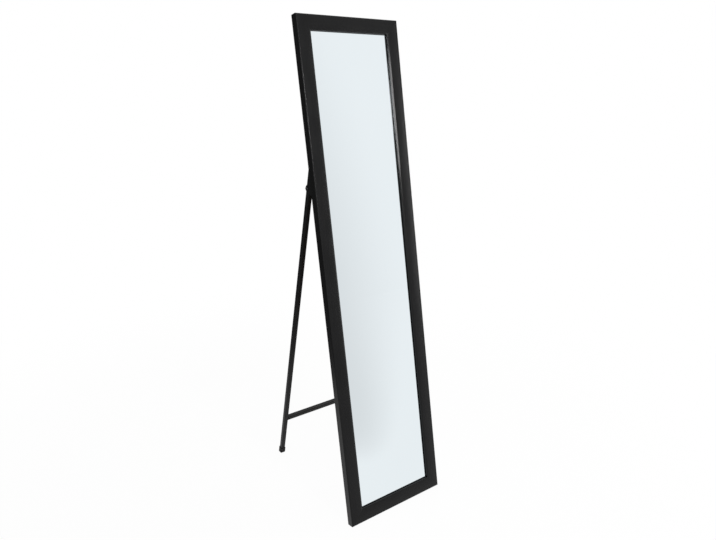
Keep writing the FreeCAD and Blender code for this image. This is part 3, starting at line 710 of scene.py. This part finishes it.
def makeFastenerTree(make):
    # a fastener in each hole of a small grid, each left at its own angle, with a thread on its shank
    tree, start, end = newGroup("fastenerSet", "GeometryNodeTree", [
        ("Fastener", "NodeSocketGeometry", None),
        ("Across", "NodeSocketFloat", 0.3),
        ("Upward", "NodeSocketFloat", 0.0),
        ("Rows", "NodeSocketInt", 1),
        ("Facing", "NodeSocketVector", (0.0, 1.0, 0.0)),
        ("Threaded", "NodeSocketBool", True),
        ("Thread Radius", "NodeSocketFloat", 0.002),
        ("Thread Depth", "NodeSocketFloat", 0.0003),
        ("Thread Foot", "NodeSocketFloat", -0.01),
        ("Thread Length", "NodeSocketFloat", 0.01),
        ("Thread Turns", "NodeSocketFloat", 10.0),
        ("Seed", "NodeSocketInt", 1),
        ("Finish", "NodeSocketMaterial", None),
    ], [("Geometry", "NodeSocketGeometry")])
    spiral = addNode(tree, "GeometryNodeCurveSpiral")
    spiral.inputs["Resolution"].default_value = make["stepsPerTurn"]
    ridge = addNode(tree, "GeometryNodeCurvePrimitiveCircle")
    ridge.inputs["Resolution"].default_value = make["ridgeSides"]
    thread = addNode(tree, "GeometryNodeCurveToMesh")
    thread.inputs["Fill Caps"].default_value = True
    lifted = addNode(tree, "GeometryNodeTransform")
    chosen = addNode(tree, "GeometryNodeSwitch")
    whole = addNode(tree, "GeometryNodeJoinGeometry")
    join(tree,
         (start.outputs["Thread Turns"], spiral.inputs["Rotations"]),
         (start.outputs["Thread Radius"], spiral.inputs["Start Radius"]),
         (start.outputs["Thread Radius"], spiral.inputs["End Radius"]),
         (start.outputs["Thread Length"], spiral.inputs["Height"]),
         (start.outputs["Thread Depth"], ridge.inputs["Radius"]),
         (spiral.outputs[0], thread.inputs["Curve"]),
         (ridge.outputs[0], thread.inputs["Profile Curve"]),
         (thread.outputs[0], lifted.inputs["Geometry"]),
         (threeValues(tree, 0, 0, start.outputs["Thread Foot"]), lifted.inputs["Translation"]),
         (start.outputs["Threaded"], chosen.inputs["Switch"]),
         (lifted.outputs[0], chosen.inputs["True"]),
         (start.outputs["Fastener"], whole.inputs[0]),
         (chosen.outputs[0], whole.inputs[0]))
    facing = partsOf(tree, start.outputs["Facing"])
    side = mathNode(tree, "SIGN", pointParts(tree)["X"])
    outward = mathNode(tree, "MULTIPLY", facing["X"], side)
    aligned = addNode(tree, "FunctionNodeAlignRotationToVector", axis="Z")
    spun = addNode(tree, "FunctionNodeRotateRotation", rotation_space="LOCAL")
    angle = randomTurn(tree, start.outputs["Seed"], math.pi)
    placed = addNode(tree, "GeometryNodeInstanceOnPoints")
    join(tree,
         (threeValues(tree, outward, facing["Y"], facing["Z"]), aligned.inputs["Vector"]),
         (aligned.outputs[0], spun.inputs["Rotation"]),
         (turnAbout(tree, (0, 0, 1), angle), spun.inputs["Rotate By"]),
         (gridPoints(tree, start), placed.inputs["Points"]),
         (whole.outputs[0], placed.inputs["Instance"]),
         (spun.outputs[0], placed.inputs["Rotation"]))
    endTree(tree, placed.outputs[0], start.outputs["Finish"], end)
    return tree


pointSkew = 0.05  # radians


def makePointTree(skew):
    # glazing points along the four walls of the rebate, each tip in the wall, a little out of square
    tree, start, end = newGroup("glazingPointRows", "GeometryNodeTree", [
        ("Point", "NodeSocketGeometry", None),
        ("Half Width", "NodeSocketFloat", 0.15),
        ("Half Height", "NodeSocketFloat", 0.75),
        ("Side Count", "NodeSocketInt", 6),
        ("End Count", "NodeSocketInt", 2),
        ("Seed", "NodeSocketInt", 1),
        ("Finish", "NodeSocketMaterial", None),
    ], [("Geometry", "NodeSocketGeometry")])
    sideRow = ("Half Width", "Half Height", "Side Count")
    endRow = ("Half Height", "Half Width", "End Count")
    rows = addNode(tree, "GeometryNodeJoinGeometry")
    for quarter in range(4):
        upright = quarter % 2 == 0
        wall, run, count = (start.outputs[label] for label in (sideRow if upright else endRow))
        sign = 1.0 if quarter < 2 else -1.0
        step = mathNode(tree, "DIVIDE", mathNode(tree, "MULTIPLY", run, 2.0), count)
        first = mathNode(tree, "SUBTRACT", mathNode(tree, "MULTIPLY", step, 0.5), run)
        at = mathNode(tree, "MULTIPLY", wall, sign)
        begin = threeValues(tree, *((at, 0, first) if upright else (first, 0, at)))
        offset = threeValues(tree, *((0, 0, step) if upright else (step, 0, 0)))
        line = addNode(tree, "GeometryNodeMeshLine")
        placed = addNode(tree, "GeometryNodeInstanceOnPoints")
        angle = mathNode(tree, "ADD", randomTurn(tree, start.outputs["Seed"], skew), -quarter * math.pi / 2)
        join(tree,
             (count, line.inputs["Count"]),
             (begin, line.inputs["Start Location"]),
             (offset, line.inputs["Offset"]),
             (line.outputs[0], placed.inputs["Points"]),
             (start.outputs["Point"], placed.inputs["Instance"]),
             (turnAbout(tree, (0, 1, 0), angle), placed.inputs["Rotation"]),
             (placed.outputs[0], rows.inputs[0]))
    endTree(tree, rows.outputs[0], start.outputs["Finish"], end)
    return tree


def makeBeadTree():
    # a weld bead in each of the four corners between the crossbar and the legs
    tree, start, end = newGroup("weldCorners", "GeometryNodeTree", [
        ("Bead", "NodeSocketGeometry", None),
        ("Across", "NodeSocketFloat", 0.3),
        ("Upward", "NodeSocketFloat", 0.015),
        ("Rows", "NodeSocketInt", 2),
        ("Finish", "NodeSocketMaterial", None),
    ], [("Geometry", "NodeSocketGeometry")])
    asMade = 0.75 * math.pi  # the bead's own corner opens to -x and +z
    spot = pointParts(tree)
    side = mathNode(tree, "MULTIPLY", mathNode(tree, "SIGN", spot["X"]), -1.0)
    corner = mathNode(tree, "ARCTAN2", mathNode(tree, "SIGN", spot["Z"]), side)
    turned = turnAbout(tree, (0, 1, 0), mathNode(tree, "SUBTRACT", asMade, corner))
    placed = addNode(tree, "GeometryNodeInstanceOnPoints")
    join(tree,
         (gridPoints(tree, start), placed.inputs["Points"]),
         (start.outputs["Bead"], placed.inputs["Instance"]),
         (turned, placed.inputs["Rotation"]))
    endTree(tree, placed.outputs[0], start.outputs["Finish"], end)
    return tree


fastenerTree = makeFastenerTree(threadMake)
pointTree = makePointTree(pointSkew)
beadTree = makeBeadTree()
print("trees made")


# bracket screws: pan heads with a cross recess

bracketScrew = {
    "head": 0.007, "headHeight": 0.0024, "rimShare": 0.35, "domeSteps": 6, "segments": 32,
    "shank": 0.0033, "length": 0.016, "tip": 0.005,
    "crossWide": 0.0042, "crossFoot": 0.00168, "crossArm": 0.0008, "crossDeep": 0.0014,
    "threadRise": 0.0002, "threadDepth": 0.00025, "threadTurns": 9.0, "plainNeck": 0.002,
    "seat": 0.0285, "spread": 0.02, "seed": 5,
}


def screwBody(look):
    head, rise, length = look["head"] / 2, look["headHeight"], look["length"]
    core, rim = look["shank"] / 2 - look["threadRise"], look["rimShare"]
    dome = [(head * math.cos(t), rise * (rim + (1 - rim) * math.sin(t)))
            for t in quarterArc(look["domeSteps"])[:-1]]
    body = turnedBody([(0, -length), (core, look["tip"] - length), (core, 0), (head, 0), *dome, (0, rise)],
                      look["segments"])
    foot, wide, arm = look["crossFoot"] / 2, look["crossWide"] / 2, look["crossArm"] / 2
    for turn in (0, math.pi / 2):
        rings = [[(-x, -arm, z), (x, -arm, z), (x, arm, z), (-x, arm, z)]
                 for x, z in ((foot, rise - look["crossDeep"]), (wide, rise), (wide, rise + cutPast))]
        slot = stackedBody("crossSlot", rings)
        slot.transform(Matrix.Rotation(turn, 4, "Z"))
        body = carved(body, slot, "DIFFERENCE")
    return body


screwMesh = grownMesh("bracketScrews", screwBody(bracketScrew), fastenerTree, {
    "Across": stance["legSpread"], "Upward": 2 * bracketScrew["spread"], "Rows": 2, "Facing": (0.0, 1.0, 0.0),
    "Threaded": True, "Thread Radius": bracketScrew["shank"] / 2 - bracketScrew["threadRise"],
    "Thread Depth": bracketScrew["threadDepth"], "Thread Foot": -bracketScrew["length"] + bracketScrew["tip"],
    "Thread Length": bracketScrew["length"] - bracketScrew["tip"] - bracketScrew["plainNeck"],
    "Thread Turns": bracketScrew["threadTurns"], "Seed": bracketScrew["seed"], "Finish": platedFinish,
})
screwPlace = mirrorPlace @ Matrix.Translation((0, bracketScrew["seat"], stance["pivotHeight"]))
settlePiece("bracketScrews", screwMesh, screwPlace, "mirror", "black_zinc", "bracket_screws")


# hinge bolts and their nuts

hingeBolt = {
    "seat": 0.01015, "head": 0.01, "headHeight": 0.0036, "headBevel": 0.0002, "rim": 0.0011,
    "crownShare": 0.72, "domeSteps": 7, "segments": 48, "shank": 0.005, "tail": 0.01715, "tailBevel": 0.0005,
    "socket": 0.003, "socketDepth": 0.002, "socketTip": 0.2, "tipDepth": 0.0006,
    "threadRise": 0.0003, "threadDepth": 0.0003, "threadLength": 0.0066, "threadTurns": 8.0,
    "runOut": (0.0002, 0.0005), "seed": 11,
}


def boltBody(look):
    # button head outwards, hexagon socket, and a bevelled tail
    seat, head, shank, tail = look["seat"], look["head"] / 2, look["shank"] / 2, look["tail"]
    top, core = seat + look["headHeight"], shank - look["threadRise"]
    crown, shoulder = look["socket"] * look["crownShare"], seat + look["rim"]
    rise = look["headHeight"] - look["rim"]
    dome = [(crown + (head - crown) * math.cos(t), shoulder + rise * math.sin(t))
            for t in quarterArc(look["domeSteps"])]
    bevel, edge = look["tailBevel"], look["headBevel"]
    runStart, runEnd = look["runOut"]
    profile = [(0, -tail), (core - bevel, -tail), (core, bevel - tail), (core, runStart - seat),
               (shank, runEnd - seat), (shank, seat), (head - edge, seat), (head, seat + edge),
               *dome, (0, top)]
    body = turnedBody(profile, look["segments"])
    reach, floor = look["socket"] / math.sqrt(3), top - look["socketDepth"]
    rings = [hexagonRing(reach * look["socketTip"], floor - look["tipDepth"]), hexagonRing(reach, floor),
             hexagonRing(reach, top + cutPast)]
    return carved(body, stackedBody("socket", rings), "DIFFERENCE")


boltMesh = grownMesh("hingeBolts", boltBody(hingeBolt), fastenerTree, {
    "Across": stance["legSpread"], "Upward": 0.0, "Rows": 1, "Facing": (1.0, 0.0, 0.0),
    "Threaded": True, "Thread Radius": hingeBolt["shank"] / 2 - hingeBolt["threadRise"],
    "Thread Depth": hingeBolt["threadDepth"], "Thread Foot": hingeBolt["tailBevel"] - hingeBolt["tail"],
    "Thread Length": hingeBolt["threadLength"], "Thread Turns": hingeBolt["threadTurns"],
    "Seed": hingeBolt["seed"], "Finish": platedFinish,
})
hingePlace = mirrorPlace @ Matrix.Translation((0, stance["pivotDepth"], stance["pivotHeight"]))
settlePiece("hingeBolts", boltMesh, hingePlace, "mirror", "black_zinc", "hinge_bolt_left", "hinge_bolt_right")

hingeNut = {
    "seat": 0.01015, "flats": 0.008, "height": 0.0038, "bevel": 0.0004, "bevelPast": 0.0001,
    "collar": 0.0072, "collarHeight": 0.0012, "collarRound": 0.0005, "collarEase": 0.00015,
    "bore": 0.0051, "boreFlare": 0.0014, "flareDepth": 0.0004, "segments": 48, "seed": 23,
}


def nutBody(look):
    # hexagon with its corners bevelled both ways, under a rounded locking collar
    seat, flat, segments = look["seat"], look["flats"] / 2, look["segments"]
    reach = look["flats"] / math.sqrt(3)
    top, end = seat + look["height"], seat + look["height"] + look["collarHeight"]
    hexagon = stackedBody("hexagon", [hexagonRing(reach, seat), hexagonRing(reach, top)])
    past, bevel = reach + look["bevelPast"], look["bevel"]
    turned = turnedBody([(0, seat), (flat, seat), (past, seat + bevel), (past, top - bevel),
                         (flat, top), (0, top)], segments)
    body = carved(hexagon, turned, "INTERSECT")
    ring, rounding, ease = look["collar"] / 2, look["collarRound"], look["collarEase"]
    collar = turnedBody([(0, top - cutPast), (ring, top - cutPast), (ring, end - rounding),
                         (ring - ease, end - ease), (ring - rounding, end), (0, end)], segments)
    body = carved(body, collar, "UNION")
    bore = look["bore"] / 2
    hole = turnedBody([(0, seat - cutPast), (bore + look["boreFlare"], seat - cutPast),
                       (bore, seat + look["flareDepth"]), (bore, end + cutPast),
                       (0, end + cutPast)], segments)
    return carved(body, hole, "DIFFERENCE")


nutMesh = grownMesh("hingeNuts", nutBody(hingeNut), fastenerTree, {
    "Across": stance["legSpread"], "Upward": 0.0, "Rows": 1, "Facing": (-1.0, 0.0, 0.0),
    "Threaded": False, "Seed": hingeNut["seed"], "Finish": platedFinish,
})
settlePiece("hingeNuts", nutMesh, hingePlace, "mirror", "black_zinc", "hinge_nut_left", "hinge_nut_right")


# glazing points: thin sprung steel, tips in the rebate's walls

glazingPoint = {
    "width": 0.009, "length": 0.016, "bite": 0.007, "blunt": 0.0004, "sheet": 0.0006, "steps": 8,
    "curl": 0.0009, "curlShare": 2, "pinch": 0.1, "pinchShare": 3, "rest": 0.013,
    "halfWidth": 0.151, "halfHeight": 0.751, "sideCount": 6, "endCount": 2, "middle": 0.785, "seed": 4,
}


def pointBody(look):
    # x runs out into the wall; the tail lifts a little off the board
    def sheetRing(x, lift, half):
        top = lift + look["sheet"]
        return [(x, lift, -half), (x, lift, half), (x, top, half), (x, top, -half)]

    half, tip = look["width"] / 2, look["bite"]
    tail = tip - look["length"]
    rings = []
    for k in range(look["steps"] + 1):
        along = k / look["steps"]
        lift = look["curl"] * max(0.0, 1 - along * look["curlShare"]) ** 2
        narrowed = half * (1 - look["pinch"] * max(0.0, 1 - along * look["pinchShare"]) ** 2)
        rings.append(sheetRing(tail + (tip - half - tail) * along, lift, narrowed))
    rings.append(sheetRing(tip, 0, look["blunt"]))
    return stackedBody("glazingPoint", rings)


pointMesh = grownMesh("glazingPoints", pointBody(glazingPoint), pointTree, {
    "Half Width": glazingPoint["halfWidth"], "Half Height": glazingPoint["halfHeight"],
    "Side Count": glazingPoint["sideCount"], "End Count": glazingPoint["endCount"],
    "Seed": glazingPoint["seed"], "Finish": zincFinish,
})
pointPlace = mirrorPlace @ Matrix.Translation((0, glazingPoint["rest"], glazingPoint["middle"]))
settlePiece("glazingPoints", pointMesh, pointPlace, "mirror", "zinc_steel", "glazing_points")


# crossbar welds: rippled beads under the coat

weldBead = {
    "leg": 0.003, "half": 0.0055, "steps": 56, "arcSteps": 7, "swell": 1.25,
    "ripples": 7, "rippleDeep": 0.09, "endShare": 0.55, "endSlope": 5, "across": 0.326, "barDrop": 0.909113,
}


def beadBody(look):
    # a swollen corner bead along y, in the corner that opens to -x and +z
    swell, arc = look["swell"], quarterArc(look["arcSteps"])
    rings = []
    for k in range(look["steps"] + 1):
        along = k / look["steps"]
        wave = abs(math.sin(math.pi * look["ripples"] * along))
        taper = min(1.0, look["endShare"] + look["endSlope"] * min(along, 1 - along))
        reach = look["leg"] * taper * (1 - look["rippleDeep"] * (1 - wave))
        y = look["half"] * (2 * along - 1)
        bulge = [(-reach * math.cos(t) ** swell, y, reach * math.sin(t) ** swell) for t in arc]
        rings.append([(0, y, 0), *bulge])
    return stackedBody("weldBead", rings)


beadMesh = grownMesh("crossbarWelds", beadBody(weldBead), beadTree, {
    "Across": weldBead["across"], "Upward": stance["tube"], "Rows": 2, "Finish": coatFinish,
})
beadPlace = standPlace @ Matrix.Translation((0, 0, -weldBead["barDrop"]))
settlePiece("crossbarWelds", beadMesh, beadPlace, "stand", "powder_coat", "crossbar_welds")


# foot caps: ribbed rubber, soled flat on the floor

# grooveLine gives how far down each step of a groove is, and its share of the depth
footCap = {
    "half": 0.00935, "corner": 0.0026, "cornerSteps": 6, "seatHalf": 0.00755, "seatCorner": 0.002,
    "legReach": 1.076113, "sole": 0.005, "soleRound": 0.0021, "soleSteps": 6,
    "height": 0.018, "rim": 0.0007, "rimSteps": 4, "lipDrop": 0.0003,
    "ribs": 3, "ribStart": 0.0035, "ribPitch": 0.0032, "ribDeep": 0.00035,
    "grooveLine": ((0, 0), (0.0003, 0.7), (0.0006, 1), (0.0009, 0.7), (0.0012, 0)),
}


def roundedRing(half, corner, steps, heightAt):
    ring = []
    for k, (sx, sy) in enumerate(((1, 1), (-1, 1), (-1, -1), (1, -1))):
        for t in quarterArc(steps):
            angle = t + math.radians(90 * k)
            x = sx * (half - corner) + corner * math.cos(angle)
            y = sy * (half - corner) + corner * math.sin(angle)
            ring.append((x, y, heightAt(y)))
    return ring


def capBody(look):
    slope = math.tan(math.radians(stance["legTilt"]))
    seat = look["sole"] - look["legReach"]
    top = seat + look["height"]
    seatSize = (look["seatHalf"], look["seatCorner"], look["cornerSteps"])
    rings = [roundedRing(*seatSize, lambda y: seat), roundedRing(*seatSize, lambda y: top - look["lipDrop"])]

    def addRing(inset, heightAt):
        rings.append(roundedRing(look["half"] - inset, look["corner"] - inset, look["cornerSteps"], heightAt))

    for t in quarterArc(look["rimSteps"]):
        drop = look["rim"] * (1 - math.cos(t))
        addRing(look["rim"] * (1 - math.sin(t)), lambda y: top - drop)
    for k in range(look["ribs"]):
        for drop, share in look["grooveLine"]:
            level = top - look["ribStart"] - k * look["ribPitch"] - drop
            addRing(look["ribDeep"] * share, lambda y: level)
    for t in quarterArc(look["soleSteps"]):
        lift = look["soleRound"] * (1 - math.sin(t)) - look["legReach"]
        addRing(look["soleRound"] * (1 - math.cos(t)), lambda y: lift - y * slope)
    return stackedBody("footCap", rings)


capPair = bmesh.new()
for side in (-1, 1):
    cap = capBody(footCap)
    cap.transform(Matrix.Translation((side * stance["legSpread"] / 2, 0, 0)))
    capPair.from_mesh(cap)
settlePiece("footCaps", plainMesh("footCaps", capPair), standPlace, "stand", "black_rubber",
            "foot_cap_left", "foot_cap_right")


# mirror pane: the silvered face, as deep under the lip as it looks through the glass

mirrorPane = {"half": 0.15, "low": 0.035, "high": 1.535, "face": 0.0089, "back": 0.01, "ground": 0.0004}


def paneBody(look):
    ground, face, back = look["ground"], look["face"], look["back"]
    rings = []
    for inset, y in ((ground, face), (0, face + ground), (0, back - ground), (ground, back)):
        x, low, high = look["half"] - inset, look["low"] + inset, look["high"] - inset
        rings.append([(-x, y, low), (x, y, low), (x, y, high), (-x, y, high)])
    return stackedBody("mirrorPane", rings)


pane = settlePiece("mirrorPane", paneBody(mirrorPane), mirrorPlace, "mirror", "silvered_glass",
                   "mirror_glass")

# most lamps pass the pane by, so that it shows the pale room and not their bright panels
passedBy = bpy.data.collections.new("passedBy")
passedBy.objects.link(pane)
passedBy.collection_objects[0].light_linking.link_state = "EXCLUDE"
for name, lamp in lamps.items():
    if not lamp["inGlass"]:
        scene.objects[name].light_linking.receiver_collection = passedBy
print("lamps set for the pane")


for name, node in nodes.items():
    node.material_slots[0].material = railFinish if name.endswith("rail") else slotFinish[nodeSlot[name]]
print("finishes given to the CAD nodes")
